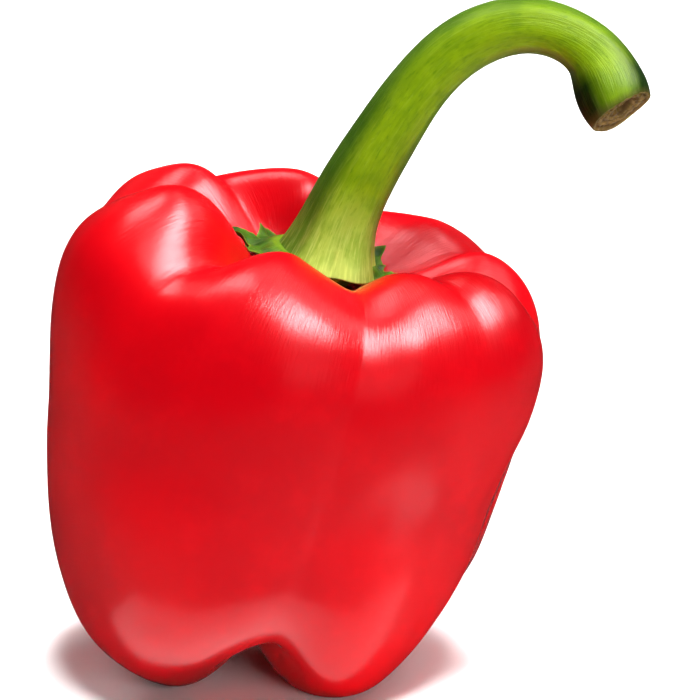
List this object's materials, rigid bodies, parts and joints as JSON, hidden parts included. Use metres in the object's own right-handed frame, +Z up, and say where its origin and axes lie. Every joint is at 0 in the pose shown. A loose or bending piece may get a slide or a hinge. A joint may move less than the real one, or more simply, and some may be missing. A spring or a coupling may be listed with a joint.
{
  "type": "bell pepper",
  "caption": "Ripe blocky bell pepper with a leaning lobed body, a toothed calyx in the shoulder hollow and a long arched stem with a swollen cut end.",
  "frame": {"origin": "under the middle of the whole pepper's bounding box, on the surface that it stands on", "axes": "+Z up; the stem arches towards +X; the front, with the groove between the two front lobes, faces -Y"},
  "size_m": [0.1012, 0.0787, 0.1169],
  "materials": {
    "fruit_skin": "waxy glossy ripe red skin",
    "calyx_green": "satin dark green leaf tissue",
    "stem_green": "satin yellow-green fibrous stalk, brown at the cut end"
  },
  "bodies": {
    "root": {"fruit": "fruit_skin", "calyx": "calyx_green", "stem": "stem_green"}
  },
  "joints": []
}
